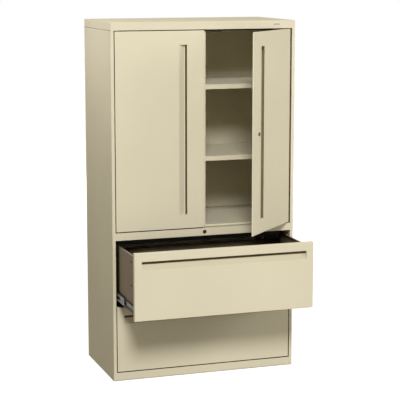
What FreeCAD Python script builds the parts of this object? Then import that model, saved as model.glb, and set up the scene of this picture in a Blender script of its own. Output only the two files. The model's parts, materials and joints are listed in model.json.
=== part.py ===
import FreeCAD, Part
import math
import operator
import os
from types import SimpleNamespace

import Sketcher
from FreeCAD import Placement, Rotation, Vector

# A steel office cabinet: a cupboard with two hinged doors over two lateral filing drawers.
# Millimetres. +Z is up, the fronts face -Y, +X is to the right of someone facing the cabinet,
# and the origin is on the floor under the middle of the case.
# It is drawn as it stands in use: right door part open, upper drawer part out, the rest closed.

SIZES = {
    # case
    "case_width": 914.4,
    "case_height": 1701.8,
    "case_depth": 489.0,
    "sheet": 1.0,
    "stile_width": 15.0,
    "stile_return": 22.0,
    "rear_flange": 15.0,
    "back_flange": 12.0,
    "corner_radius": 2.0,
    "reveal": 4.0,
    "fit": 0.3,
    "overrun": 2.0,
    # top cap, base and rails
    "cap_seam": 1.4,
    "cap_height": 38.0,
    "cap_return": 30.0,
    "base_height": 39.5,
    "base_return": 25.0,
    "pan_height": 31.0,
    "rail_height": 36.0,
    "rail_return": 32.0,
    # cupboard
    "floor_setback": 28.0,
    "floor_lip": 11.5,
    "floor_rear_flange": 10.0,
    "shelf_setback": 31.0,
    "shelf_rear_gap": 20.0,
    "shelf_edge": 22.0,
    "shelf_return": 12.0,
    "shelf_rear_flange": 18.0,
    "standard_width": 25.0,
    "standard_wall": 2.5,
    "standard_front_setback": 70.0,
    "standard_rear_gap": 74.0,
    "standard_end_gap": 4.0,
    "slot_width": 6.0,
    "slot_height": 14.0,
    "slot_pitch": 38.1,
    "slot_first_rise": 281.7,
    "clip_wall": 2.0,
    "clip_height": 20.0,
    "clip_reach": 14.0,
    "clip_width": 16.0,
    "clip_hook_drop": 9.0,
    "clip_hook_height": 10.0,
    "clip_hook_width": 5.0,
    # doors and their pivots
    "front_depth": 21.0,
    "liner_inset": 1.0,
    "door_lip": 86.0,
    "door_edge_return": 5.0,
    "door_edge_lip": 45.0,
    "door_slot": 10.5,
    "door_slope": 28.0,
    "door_pull_pocket": 8.0,
    "door_pull_margin": 66.0,
    "pull_depth": 16.0,
    "pull_flange": 6.0,
    "pivot_inset": 11.0,
    "pivot_depth": 7.0,
    "pin_radius": 3.5,
    "pin_hold": 18.0,
    "pin_clearance": 0.1,
    "collar_radius": 6.0,
    "bracket_length": 44.0,
    "bracket_width": 20.0,
    "bracket_thick": 3.0,
    "astragal_hold": 28.0,
    "astragal_reach": 13.5,
    "astragal_wall": 1.5,
    "astragal_joggle": 0.8,
    "astragal_end_gap": 6.0,
    "catch_length": 46.0,
    "catch_depth": 15.0,
    "catch_height": 13.0,
    "catch_from_centre": 70.0,
    "catch_pole_wall": 2.0,
    "catch_pole_gap": 4.0,
    "catch_pole_setin": 3.0,
    # locks
    "lock_radius": 8.0,
    "lock_rim_radius": 9.0,
    "lock_rim_thick": 1.5,
    "lock_length": 23.5,
    "lock_clearance": 0.1,
    "plug_radius": 5.6,
    "plug_shank_radius": 4.0,
    "plug_proud": 1.0,
    "keyway_width": 1.8,
    "keyway_height": 7.5,
    "keyway_depth": 9.0,
    "cam_wall": 2.5,
    "cam_width": 15.0,
    "door_lock_inset": 69.0,
    "door_cam_reach": 69.0,
    "crank_radius": 5.0,
    "crank_pin_radius": 2.5,
    "rod_wall": 3.0,
    "rod_height": 12.0,
    "rod_fork_height": 17.0,
    "rod_fork_width": 20.0,
    "rod_fork_slot": 6.2,
    "rod_fork_slot_depth": 9.0,
    "rod_tip_inset": 9.5,
    "bar_side_gap": 1.3,
    "lug_reach": 11.0,
    "lug_height": 14.0,
    "lug_rise": 150.0,
    "lug_clear": 2.0,
    "bar_tail": 24.0,
    "tab_reach": 10.0,
    "tab_height": 12.0,
    "tab_thick": 4.0,
    "tab_gap": 1.0,
    # drawers
    "drawer_height": 315.0,
    "upper_drawer_out": 300.0,
    "drawer_lip": 40.0,
    "drawer_slot": 8.0,
    "drawer_slope": 31.0,
    "drawer_pull_pocket": 14.0,
    "drawer_pull_margin": 35.0,
    "drawer_rear_clear": 24.4,
    "drawer_floor_rise": 25.0,
    "drawer_side_drop": 22.0,
    "drawer_side_foot": 14.0,
    "drawer_side_bead": 10.0,
    "drawer_back_height": 230.0,
    "drawer_back_flange": 12.0,
    "hang_rail_wall": 3.0,
    "hang_rail_height": 16.0,
    "hang_rail_notch": 8.0,
    "hang_rail_front_gap": 20.0,
    "hang_rail_rear_gap": 50.0,
    # drawer slides and what carries them
    "upright_width": 40.0,
    "front_upright_setback": 44.0,
    "slide_thick": 12.7,
    "slide_height": 45.8,
    "slide_overhang": 40.0,
    "slide_tail": 46.0,
    "slide_setback": 26.0,
    "slide_rise": 28.0,
    "slide_wall": 1.2,
    "ball_row": 3.8,
    "case_member_flange": 10.0,
    "middle_member_from": 4.2,
    "middle_member_flange": 7.2,
    "drawer_member_flange": 6.1,
    "outer_cage_from": 2.5,
    "outer_cage_width": 7.0,
    "inner_cage_from": 6.8,
    "inner_cage_width": 4.4,
    "cage_length": 200.0,
    "slide_slot_length": 12.0,
    "slide_slot_height": 5.2,
    "middle_window_length": 70.0,
    "middle_window_height": 12.0,
    # weight and feet
    "counterweight_length": 700.0,
    "counterweight_thick": 40.0,
    "counterweight_height": 150.0,
    "counterweight_chamfer": 4.0,
    "foot_radius": 16.0,
    "foot_height": 6.0,
    "stem_radius": 5.0,
    "stem_top": 48.0,
    "stem_clearance": 0.2,
    "weld_nut_width": 18.0,
    "weld_nut_height": 8.0,
    "foot_side_inset": 60.0,
    "foot_front_inset": 70.0,
    "foot_rear_inset": 62.0,
}
ANGLES = {"right_door_open_angle": 45.0, "crank_angle": 45.0}

# The slot, counted from the lowest, that each shelf's clips hook into.
SHELF_SLOTS = {"lower_shelf": 1, "upper_shelf": 10}
# How far each moving piece of a slide travels, as a share of its drawer's travel.
OUTER_CAGE_SHARE = 0.25
MIDDLE_SHARE = 0.5
INNER_CAGE_SHARE = 0.75
# The pull's back wall runs parallel to its slope: its corners step back by this share of the wall.
MITRE_SHARE = 0.25
LEFT = 1
RIGHT = -1
FULL_TURN = 360
HEX_STEP = 60
TOUCHING = 1e-6

doc = FreeCAD.newDocument("filing_cabinet")
sheet = doc.addObject("Spreadsheet::Sheet", "Sizes")
for row, (alias, number) in enumerate({**SIZES, **ANGLES}.items(), start=1):
    sheet.set(f"A{row}", alias)
    sheet.set(f"B{row}", str(number))
    sheet.setAlias(f"B{row}", alias)
doc.recompute()


class Measure:
    """A size that carries its number and the sheet formula behind it."""

    def __init__(self, value, formula):
        self.value = value
        self.formula = formula

    def __add__(self, other):
        return joined(self, "+", other)

    def __radd__(self, other):
        return joined(other, "+", self)

    def __sub__(self, other):
        return joined(self, "-", other)

    def __rsub__(self, other):
        return joined(other, "-", self)

    def __mul__(self, other):
        return joined(self, "*", other)

    def __rmul__(self, other):
        return joined(other, "*", self)

    def __truediv__(self, other):
        return joined(self, "/", other)

    def __neg__(self):
        return joined(0, "-", self)


OPERATIONS = {"+": operator.add, "-": operator.sub, "*": operator.mul, "/": operator.truediv}


def measure(number):
    """A plain number as a Measure, and a Measure as it is."""
    if isinstance(number, Measure):
        return number
    return Measure(float(number), f"({number})")


def joined(left, sign, right):
    left = measure(left)
    right = measure(right)
    value = OPERATIONS[sign](left.value, right.value)
    return Measure(value, f"({left.formula} {sign} {right.formula})")


def sine(angle):
    return Measure(math.sin(math.radians(angle.value)), f"sin({angle.formula})")


def cosine(angle):
    return Measure(math.cos(math.radians(angle.value)), f"cos({angle.formula})")


def bind(thing, name, size):
    thing.setExpression(name, measure(size).formula)


S = SimpleNamespace(**{n: Measure(v, f"Sizes.{n}") for n, v in {**SIZES, **ANGLES}.items()})

# Lines that several pieces share
half_width = S.case_width / 2
front = -(S.case_depth / 2)
back = S.case_depth / 2
side_top = S.case_height - S.cap_height
opening_width = S.case_width - 2 * S.stile_width
opening_left = S.stile_width - half_width
front_width = opening_width - 2 * S.reveal
front_left = opening_left + S.reveal
shell_depth = S.front_depth + S.sheet
lower_front_low = S.base_height + S.reveal
upper_front_low = lower_front_low + S.drawer_height + S.reveal
rail_low = upper_front_low + S.drawer_height + S.reveal
rail_top = rail_low + S.rail_height
door_low = rail_top + S.reveal
door_height = side_top - S.reveal - door_low
door_width = (opening_width - 3 * S.reveal) / 2
cupboard_floor_top = rail_top + S.floor_lip
liner_back = front + shell_depth
inner_left = 2 * (S.sheet + S.fit) - half_width
inner_width = S.case_width - 4 * (S.sheet + S.fit)
inner_back = back - 2 * S.sheet - S.fit
drawer_length = inner_back - S.fit - S.counterweight_thick - S.drawer_rear_clear - liner_back
slide_length = drawer_length + S.slide_overhang
rear_upright_setback = S.slide_setback + slide_length - S.slide_tail - S.upright_width
standard_rear_setback = S.case_depth - S.standard_rear_gap - S.standard_width
standard_low = cupboard_floor_top + S.fit
slot_first = standard_low + S.slot_first_rise
lock_height = rail_low + S.rail_height / 2
crank_sideways = S.crank_radius * sine(S.crank_angle)
crank_drop = S.crank_radius * cosine(S.crank_angle)
cam_front = front + S.lock_length + S.fit - S.lock_rim_thick
rod_front = cam_front + S.cam_wall + S.fit
right_pivot = (half_width - S.stile_width - S.reveal - S.pivot_inset, front + S.pivot_depth)
left_pivot = (-right_pivot[0], right_pivot[1])
right_swing = (*right_pivot, S.right_door_open_angle)

nodes = []


def set_place(thing, at, swing=None):
    """Puts a piece's corner at a point. A piece on the open door turns with it about the door's pivot."""
    x, y, z = [measure(value) for value in at]
    if swing:
        pivot_x, pivot_y, angle = swing
        away_x = x - pivot_x
        away_y = y - pivot_y
        x = pivot_x + away_x * cosine(angle) - away_y * sine(angle)
        y = pivot_y + away_x * sine(angle) + away_y * cosine(angle)
        thing.Placement = Placement(Vector(), Rotation(Vector(0, 0, 1), angle.value))
        bind(thing, "Placement.Rotation.Angle", angle)
    bind(thing, "Placement.Base.x", x)
    bind(thing, "Placement.Base.y", y)
    bind(thing, "Placement.Base.z", z)


class Piece:
    """One solid: a body drawn in sketches from its own corner, then set in place."""

    def __init__(self, label, at, swing=None, grouped=False):
        self.body = doc.addObject("PartDesign::Body", label)
        self.body.Label = label
        self.last = None
        self.outline = None
        set_place(self.body, at, swing)
        if not grouped:
            nodes.append(self.body)

    def sketch(self, plane, start):
        outline = self.body.newObject("Sketcher::SketchObject", f"{self.body.Name}_outline")
        planes = {feature.Role: feature for feature in self.body.Origin.OriginFeatures}
        outline.AttachmentSupport = [(planes[f"{plane}_Plane"], "")]
        outline.MapMode = "FlatFace"
        ahead = -measure(start) if plane == "XZ" else measure(start)
        bind(outline, "AttachmentOffset.Base.z", ahead)
        self.outline = outline
        return outline

    def polygon(self, plane, points, start):
        outline = self.sketch(plane, start)
        points = [(measure(across), measure(up)) for across, up in points]
        corners = [Vector(across.value, up.value, 0) for across, up in points]
        ends = corners[1:] + corners[:1]
        outline.addGeometry([Part.LineSegment(a, b) for a, b in zip(corners, ends)], False)
        for index in range(len(points)):
            after = (index + 1) % len(points)
            outline.addConstraint(Sketcher.Constraint("Coincident", index, 2, after, 1))
        for index, (across, up) in enumerate(points):
            self.locate(index, 1, across, up)
        return outline

    def circle(self, plane, centre, radius, start):
        outline = self.sketch(plane, start)
        across, up = [measure(value) for value in centre]
        middle = Vector(across.value, up.value, 0)
        outline.addGeometry(Part.Circle(middle, Vector(0, 0, 1), radius.value), False)
        self.locate(0, 3, across, up)
        rule = outline.addConstraint(Sketcher.Constraint("Radius", 0, radius.value))
        bind(outline, f"Constraints[{rule}]", radius)
        return outline

    def locate(self, line, end, across, up):
        """Ties a point of the newest sketch to its distances from the piece's corner."""
        for kind, size in (("DistanceX", across), ("DistanceY", up)):
            rule = self.outline.addConstraint(Sketcher.Constraint(kind, -1, 1, line, end, size.value))
            bind(self.outline, f"Constraints[{rule}]", size)

    def feature(self, kind, outline, length, backwards):
        self.last = self.body.newObject(f"PartDesign::{kind}", f"{self.body.Name}_{kind}")
        self.last.Profile = outline
        bind(self.last, "Length", length)
        self.last.Reversed = backwards

    def add(self, plane, points, start, length):
        self.feature("Pad", self.polygon(plane, points, start), length, plane == "XZ")

    def cut(self, plane, points, start, length):
        self.feature("Pocket", self.polygon(plane, points, start), length, plane != "XZ")

    def boss(self, plane, centre, radius, start, length):
        self.feature("Pad", self.circle(plane, centre, radius, start), length, plane == "XZ")

    def hole(self, plane, centre, radius, start, length):
        self.feature("Pocket", self.circle(plane, centre, radius, start), length, plane != "XZ")

    def spin(self, plane, points):
        """Turns a half outline about its own upright axis."""
        outline = self.polygon(plane, points, 0)
        self.last = self.body.newObject("PartDesign::Revolution", f"{self.body.Name}_turned")
        self.last.Profile = outline
        self.last.ReferenceAxis = (outline, ["V_Axis"])
        self.last.Angle = FULL_TURN

    def repeat(self, pitch, count):
        """Repeats the newest cut upwards along its sketch."""
        pattern = self.body.newObject("PartDesign::LinearPattern", f"{self.body.Name}_row")
        pattern.Originals = [self.last]
        pattern.Direction = (self.outline, ["V_Axis"])
        bind(pattern, "Length", pitch * (count - 1))
        pattern.Occurrences = count
        self.body.Tip = pattern
        self.last = pattern

    def round_edges(self, chosen, radius, kind="Fillet"):
        """Rounds, or chamfers, those edges of the newest feature that the test picks."""
        doc.recompute()
        base = self.last
        edges = [f"Edge{n}" for n, edge in enumerate(base.Shape.Edges, start=1) if chosen(edge)]
        self.last = self.body.newObject(f"PartDesign::{kind}", f"{self.body.Name}_{kind}")
        self.last.Base = (base, edges)
        bind(self.last, "Radius" if kind == "Fillet" else "Size", radius)


def group(label, pieces):
    """One node of several equal solids."""
    node = doc.addObject("Part::Compound", label)
    node.Label = label
    node.Links = [piece.body for piece in pieces]
    nodes.append(node)


def rectangle(left, low, right, high):
    return [(left, low), (right, low), (right, high), (left, high)]


def channel(foot, head, height, wall):
    """A folded C with its back at zero, a foot and a head flange, open towards positive."""
    return [
        (0, 0),
        (foot, 0),
        (foot, wall),
        (wall, wall),
        (wall, height - wall),
        (head, height - wall),
        (head, height),
        (0, height),
    ]


def moved(points, across, up):
    return [(x + across, y + up) for x, y in points]


def facing(points, hand):
    """The outline as it is for the left hand, or mirrored for the right."""
    return [(measure(x) * hand, y) for x, y in points]


def swapped(points):
    return [(y, x) for x, y in points]


def on_front(edge):
    return all(abs(corner.Y) < TOUCHING for corner in edge.Vertexes)


def on_outer_corner(edge):
    return all(abs(corner.X) < TOUCHING and abs(corner.Y) < TOUCHING for corner in edge.Vertexes)


def on_top_of(height):
    return lambda edge: all(abs(corner.Z - height.value) < TOUCHING for corner in edge.Vertexes)


# Case


def make_side_panel(label, hand):
    """A side, folded at the front into the stile and its return, and at the rear into a flange."""
    wall = S.sheet
    depth = S.case_depth
    outline = [
        (0, 0),
        (S.stile_width, 0),
        (S.stile_width, S.stile_return),
        (S.stile_width - wall, S.stile_return),
        (S.stile_width - wall, wall),
        (wall, wall),
        (wall, depth - wall),
        (S.rear_flange, depth - wall),
        (S.rear_flange, depth),
        (0, depth),
    ]
    panel = Piece(label, (-hand * half_width, front, 0))
    panel.add("XY", facing(outline, hand), 0, side_top)
    panel.round_edges(on_outer_corner, S.corner_radius)
    seam = facing(rectangle(-S.overrun, wall, wall, depth - wall), hand)
    panel.cut("XY", seam, side_top - S.cap_seam, S.cap_seam + S.overrun)


def make_back_panel():
    """A sheet behind the side flanges, with its own flanges along the sides."""
    wide = S.case_width - 2 * (S.sheet + S.fit)
    outline = swapped(channel(S.back_flange, S.back_flange, wide, S.sheet))
    panel = Piece("back_panel", (-wide / 2, back - S.sheet, 0))
    panel.add("XY", [(x, -measure(y)) for x, y in outline], 0, side_top)


def make_top_cap():
    """A shallow pan, upside down on the sides, with a hollow box along its front."""
    wall = S.sheet
    cap = Piece("top_cap", (-half_width, front, side_top))
    cap.add("XY", rectangle(0, 0, S.case_width, S.case_depth), 0, S.cap_height)
    cap.round_edges(on_top_of(S.cap_height), S.corner_radius)
    inside = rectangle(wall, S.cap_return, S.case_width - wall, S.case_depth - wall)
    cap.cut("XY", inside, -S.overrun, S.cap_height - wall + S.overrun)
    hollow = rectangle(wall, wall, S.cap_return + S.overrun, S.cap_height - wall)
    cap.cut("YZ", hollow, wall, S.case_width - 2 * wall)
    for pivot_x, pivot_y in (left_pivot, right_pivot):
        centre = (pivot_x + half_width, pivot_y - front)
        cap.hole("XY", centre, S.pin_radius + S.pin_clearance, -S.overrun, wall + 2 * S.overrun)


def make_base():
    """The toe rail on the floor, and the pan behind it with square weld nuts for the feet."""
    rail = Piece("base_rail", (opening_left, front, 0))
    rail.add("YZ", channel(S.base_return, S.base_return, S.base_height, S.sheet), 0, opening_width)
    pan_front = front + S.base_return + S.fit
    pan_depth = inner_back - pan_front
    pan = Piece("base_pan", (inner_left, pan_front, 0))
    pan.add("XY", rectangle(0, 0, inner_width, pan_depth), 0, S.pan_height)
    wall = S.sheet
    under = rectangle(wall, wall, inner_width - wall, pan_depth - wall)
    pan.cut("XY", under, -S.overrun, S.pan_height - wall + S.overrun)
    nut_low = S.pan_height - wall - S.weld_nut_height
    half_nut = S.weld_nut_width / 2
    for foot_x, foot_y in foot_places().values():
        centre = (foot_x - inner_left, foot_y - pan_front)
        nut = moved(rectangle(-half_nut, -half_nut, half_nut, half_nut), *centre)
        pan.add("XY", nut, nut_low, S.weld_nut_height)
        bore = S.stem_radius + S.stem_clearance
        pan.hole("XY", centre, bore, nut_low - S.overrun, S.weld_nut_height + wall + 2 * S.overrun)


def foot_places():
    side = half_width - S.foot_side_inset
    ahead = front + S.foot_front_inset
    behind = back - S.foot_rear_inset
    return {
        "front_left_leveller": (-side, ahead),
        "front_right_leveller": (side, ahead),
        "rear_left_leveller": (-side, behind),
        "rear_right_leveller": (side, behind),
    }


def make_levellers():
    """Hex-headed screws, head down and wound fully in: the heads are level with the case's lower edge."""
    corner_angles = range(0, FULL_TURN, HEX_STEP)
    head = [
        (S.foot_radius * math.cos(math.radians(angle)), S.foot_radius * math.sin(math.radians(angle)))
        for angle in corner_angles
    ]
    for label, (foot_x, foot_y) in foot_places().items():
        foot = Piece(label, (foot_x, foot_y, 0))
        foot.add("XY", head, 0, S.foot_height)
        foot.boss("XY", (0, 0), S.stem_radius, S.foot_height, S.stem_top - S.foot_height)


def make_middle_rail():
    """The rail between doors and drawers, bored for the drawer lock and the doors' lower pins."""
    rail = Piece("middle_rail", (opening_left, front, rail_low))
    rail.add("YZ", channel(S.rail_return, S.rail_return, S.rail_height, S.sheet), 0, opening_width)
    through = S.sheet + 2 * S.overrun
    lock_bore = S.lock_radius + S.lock_clearance
    rail.hole("XZ", (opening_width / 2, S.rail_height / 2), lock_bore, -S.overrun, through)
    for pivot_x, pivot_y in (left_pivot, right_pivot):
        centre = (pivot_x - opening_left, pivot_y - front)
        bore = S.pin_radius + S.pin_clearance
        rail.hole("XY", centre, bore, S.rail_height - S.sheet - S.overrun, through)


def make_counterweight():
    """A steel block on the base pan, behind the lower drawer."""
    at = (-S.counterweight_length / 2, inner_back - S.counterweight_thick - S.fit, S.pan_height)
    block = Piece("counterweight", at)
    face = rectangle(0, 0, S.counterweight_length, S.counterweight_thick)
    block.add("XY", face, 0, S.counterweight_height)
    block.round_edges(on_top_of(S.counterweight_height), S.counterweight_chamfer, "Chamfer")


# Cupboard


def make_cupboard_floor():
    """The sheet under the cupboard: its front lip stands on the middle rail."""
    deep = inner_back - front - S.floor_setback
    high = S.floor_lip
    wall = S.sheet
    outline = [
        (0, 0),
        (wall, 0),
        (wall, high - wall),
        (deep - wall, high - wall),
        (deep - wall, high - S.floor_rear_flange),
        (deep, high - S.floor_rear_flange),
        (deep, high),
        (0, high),
    ]
    floor = Piece("cupboard_floor", (inner_left, front + S.floor_setback, rail_top))
    floor.add("YZ", outline, 0, inner_width)


def shelf_slot_height(label):
    return slot_first + SHELF_SLOTS[label] * S.slot_pitch


def make_shelf(label):
    """A shelf with a hemmed front edge, lying on its clips."""
    deep = S.case_depth - S.shelf_setback - S.shelf_rear_gap
    high = S.shelf_edge
    wall = S.sheet
    outline = [
        (0, 0),
        (S.shelf_return, 0),
        (S.shelf_return, wall),
        (wall, wall),
        (wall, high - wall),
        (deep - wall, high - wall),
        (deep - wall, high - S.shelf_rear_flange),
        (deep, high - S.shelf_rear_flange),
        (deep, high),
        (0, high),
    ]
    wide = S.case_width - 2 * (S.sheet + S.standard_wall + S.clip_wall + S.fit)
    low = shelf_slot_height(label) + S.clip_hook_drop + wall - high
    shelf = Piece(label, (-wide / 2, front + S.shelf_setback, low))
    shelf.add("YZ", outline, 0, wide)


def standard_places():
    """Front and rear, left and right: the hand and the setback of each slotted standard."""
    setbacks = (S.standard_front_setback, standard_rear_setback)
    return [(hand, setback) for hand in (LEFT, RIGHT) for setback in setbacks]


def make_standards():
    """Slotted strips on the inside of the cupboard, for the shelf clips."""
    high = side_top - S.standard_end_gap - standard_low
    room = high.value - S.slot_first_rise.value - S.slot_height.value
    count = int(room // S.slot_pitch.value) + 1
    strips = []
    for hand, setback in standard_places():
        at = (-hand * (half_width - S.sheet), front + setback, standard_low)
        strip = Piece(f"shelf_standard_{len(strips) + 1}", at, grouped=True)
        strip.add("XY", facing(rectangle(0, 0, S.standard_wall, S.standard_width), hand), 0, high)
        middle = S.standard_width / 2
        slot = rectangle(
            middle - S.slot_width / 2,
            S.slot_first_rise - S.slot_height / 2,
            middle + S.slot_width / 2,
            S.slot_first_rise + S.slot_height / 2,
        )
        reach = S.standard_wall + 2 * S.overrun
        start = -S.overrun if hand == LEFT else S.overrun - reach
        strip.cut("YZ", slot, start, reach)
        strip.repeat(S.slot_pitch, count)
        strips.append(strip)
    group("shelf_standards", strips)


def make_clips():
    """Angle clips: a hook in the standard's slot and a ledge under the shelf's sheet."""
    ledge = [
        (0, 0),
        (S.clip_wall, 0),
        (S.clip_wall, S.clip_height - S.clip_wall),
        (S.clip_reach, S.clip_height - S.clip_wall),
        (S.clip_reach, S.clip_height),
        (0, S.clip_height),
    ]
    clips = []
    for label in SHELF_SLOTS:
        low = shelf_slot_height(label) + S.clip_hook_drop - S.clip_height
        for hand, setback in standard_places():
            face = half_width - S.sheet - S.standard_wall
            side = front + setback + S.standard_width / 2 - S.clip_width / 2
            clip = Piece(f"shelf_clip_{len(clips) + 1}", (-hand * face, side, low), grouped=True)
            clip.add("XZ", facing(ledge, hand), 0, S.clip_width)
            hook_low = S.clip_height - S.clip_hook_drop - S.clip_hook_height / 2
            hook = rectangle(0, hook_low, -S.standard_wall, hook_low + S.clip_hook_height)
            inset = (S.clip_width - S.clip_hook_width) / 2
            clip.add("XZ", facing(hook, hand), inset, S.clip_hook_width)
            clips.append(clip)
    group("shelf_clips", clips)


# Fronts with their finger pulls


def pull_section(slope, slot, pocket):
    """The folded finger pull, as distance across it and depth behind the front.

    It slopes in from the front, runs on behind the lip and comes forward again to the lip's back.
    """
    wall = S.sheet
    step = wall * MITRE_SHARE
    end = slope + slot + pocket
    return [
        (-S.pull_flange, wall),
        (0, wall),
        (slope, S.pull_depth),
        (end, S.pull_depth),
        (end, wall),
        (end + S.pull_flange, wall),
        (end + S.pull_flange, 2 * wall),
        (end + wall, 2 * wall),
        (end + wall, S.pull_depth + wall),
        (slope - step, S.pull_depth + wall),
        (-step, 2 * wall),
        (-S.pull_flange, 2 * wall),
    ]


def pull_end(slope, slot, pocket):
    """The plate that closes each end of the pull."""
    wall = S.sheet
    end = slope + slot + pocket
    return [(0, wall), (slope, S.pull_depth), (end, S.pull_depth), (end, wall)]


def make_skin(label, at, width, height, window, swing=None):
    """A front pan with rounded edges and a window for its pull."""
    wall = S.sheet
    skin = Piece(label, at, swing)
    skin.add("XZ", rectangle(0, 0, width, height), 0, S.front_depth)
    skin.round_edges(on_front, S.corner_radius)
    skin.cut("XZ", rectangle(wall, wall, width - wall, height - wall), wall, S.front_depth)
    skin.cut("XZ", window, -S.overrun, wall + 2 * S.overrun)
    return skin


def make_liner(label, at, width, height, swing=None):
    """The flat sheet that closes the back of a front pan."""
    x, y, z = at
    inset = S.liner_inset
    liner = Piece(label, (x + inset, y + S.front_depth, z + inset), swing)
    liner.add("XZ", rectangle(0, 0, width - 2 * inset, height - 2 * inset), 0, S.sheet)
    return liner


def make_door(side, hand, corner_x, swing=None):
    """A door's skin, liner, pull and pivot pins. Both doors take the same pull, near the free edge."""
    at = (corner_x, front, door_low)
    near = S.door_lip
    far = S.door_lip + S.door_slot + S.door_slope
    window_left = door_width - far if hand == LEFT else near
    window_right = door_width - near if hand == LEFT else far
    margin = S.door_pull_margin
    window = rectangle(window_left, margin, window_right, door_height - margin)
    skin = make_skin(f"{side}_door_skin", at, door_width, door_height, window, swing)
    pivot_across = S.pivot_inset if hand == LEFT else door_width - S.pivot_inset
    for low in (-S.overrun, door_height - S.sheet - S.overrun):
        bore = S.pin_radius + S.pin_clearance
        through = S.sheet + 2 * S.overrun
        skin.hole("XY", (pivot_across, S.pivot_depth), bore, low, through)
    liner = make_liner(f"{side}_door_liner", at, door_width, door_height, swing)

    slope_edge = corner_x + window_left
    pull = Piece(f"{side}_door_pull", (slope_edge, front, door_low + margin - S.sheet), swing)
    length = door_height - 2 * margin + 2 * S.sheet
    sizes = (S.door_slope, S.door_slot, S.door_pull_pocket)
    pull.add("XY", pull_section(*sizes), 0, length)
    for low in (0, length - S.sheet):
        pull.add("XY", pull_end(*sizes), low, S.sheet)
    make_pivots(side, (corner_x + pivot_across, front + S.pivot_depth), swing)
    return skin, liner


def thin_free_edge(skin, liner):
    """Leaves a thin lip along the right door's free edge. The liner folds forward beside it."""
    lip = S.door_edge_lip
    over = S.overrun
    skin.cut("XZ", rectangle(-over, -over, lip, door_height + over), S.door_edge_return, S.front_depth)
    edge = lip - S.liner_inset
    liner.cut("XZ", rectangle(-over, -over, edge, door_height), -over, S.sheet + 2 * over)
    low = S.sheet - S.liner_inset
    fold = rectangle(edge, low, edge + S.sheet, low + door_height - 2 * S.sheet)
    liner.add("XZ", fold, S.sheet - S.front_depth, S.front_depth - S.sheet)


def make_pivots(side, pivot, swing):
    """The pins at a door's top and bottom, each with a collar that keeps the reveal."""
    tail = S.reveal + S.sheet + S.bracket_thick + S.fit
    outline = [
        (0, -S.pin_hold),
        (S.pin_radius, -S.pin_hold),
        (S.pin_radius, 0),
        (S.collar_radius, 0),
        (S.collar_radius, S.reveal - S.fit),
        (S.pin_radius, S.reveal - S.fit),
        (S.pin_radius, tail),
        (0, tail),
    ]
    pins = []
    for height, way in ((door_low, -1), (door_low + door_height, 1)):
        pin = Piece(f"{side}_door_pin_{len(pins) + 1}", (*pivot, height), swing, grouped=True)
        pin.spin("XZ", [(across, measure(up) * way) for across, up in outline])
        pins.append(pin)
    group(f"{side}_door_pivots", pins)


def make_hinge_brackets():
    """Plates that stiffen the pin holes, inside the top cap and inside the middle rail."""
    plates = []
    outer_end = S.pivot_inset + S.reveal
    for hand, (pivot_x, pivot_y) in ((LEFT, left_pivot), (RIGHT, right_pivot)):
        for low in (rail_top - S.sheet - S.bracket_thick, side_top + S.sheet):
            at = (pivot_x - hand * outer_end, front + S.sheet, low)
            plate = Piece(f"hinge_bracket_{len(plates) + 1}", at, grouped=True)
            face = facing(rectangle(0, 0, S.bracket_length, S.bracket_width), hand)
            plate.add("XY", face, 0, S.bracket_thick)
            centre = (hand * outer_end, pivot_y - front - S.sheet)
            bore = S.pin_radius + S.pin_clearance
            plate.hole("XY", centre, bore, -S.overrun, S.bracket_thick + 2 * S.overrun)
            plates.append(plate)
    group("hinge_brackets", plates)


def make_astragal():
    """The strip on the left door's back that covers the gap between the doors, joggled clear of the right."""
    hold = S.astragal_hold
    reach = hold + S.astragal_reach
    wall = S.astragal_wall
    step = S.astragal_joggle
    outline = [
        (0, 0),
        (hold, 0),
        (hold, step),
        (reach, step),
        (reach, step + wall),
        (hold - wall, step + wall),
        (hold - wall, wall),
        (0, wall),
    ]
    at = (-S.reveal / 2 - hold, liner_back, door_low + S.astragal_end_gap)
    strip = Piece("left_door_astragal", at)
    strip.add("XY", outline, 0, door_height - 2 * S.astragal_end_gap)


def make_catches():
    """Magnetic catches under the top cap: a housing with two pole strips let into its face."""
    catches = []
    for hand in (LEFT, RIGHT):
        x = -hand * S.catch_from_centre - S.catch_length / 2
        at = (x, liner_back + S.fit, side_top - S.catch_height)
        catch = Piece(f"door_catch_{len(catches) + 1}", at, grouped=True)
        catch.add("XZ", rectangle(0, 0, S.catch_length, S.catch_height), 0, S.catch_depth)
        middle = S.catch_height / 2
        for low in (middle - S.catch_pole_gap / 2 - S.catch_pole_wall, middle + S.catch_pole_gap / 2):
            groove = rectangle(
                S.catch_pole_setin, low, S.catch_length - S.catch_pole_setin, low + S.catch_pole_wall
            )
            catch.cut("XZ", groove, -S.overrun, S.overrun + S.catch_pole_setin)
        catches.append(catch)
    group("door_catches", catches)


# Locks


def make_lock(name, at, swing=None):
    """A cylinder lock: a rimmed housing and, in its bore, a plug with a keyway and a shank."""
    rim = S.lock_rim_thick
    end = S.lock_length - rim
    bore = S.plug_radius + S.lock_clearance
    housing = Piece(f"{name}_housing", at, swing)
    housing_outline = [
        (bore, -rim),
        (S.lock_rim_radius, -rim),
        (S.lock_rim_radius, 0),
        (S.lock_radius, 0),
        (S.lock_radius, end),
        (bore, end),
    ]
    housing.spin("XY", housing_outline)
    face = -rim - S.plug_proud
    tail = end + S.fit + S.cam_wall
    plug = Piece(f"{name}_plug", at, swing)
    plug_outline = [
        (0, face),
        (S.plug_radius, face),
        (S.plug_radius, end + S.fit),
        (S.plug_shank_radius, end + S.fit),
        (S.plug_shank_radius, tail),
        (0, tail),
    ]
    plug.spin("XY", plug_outline)
    keyway = rectangle(
        -S.keyway_width / 2, -S.keyway_height / 2, S.keyway_width / 2, S.keyway_height / 2
    )
    plug.cut("XZ", keyway, face - S.overrun, S.overrun + S.keyway_depth)


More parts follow.
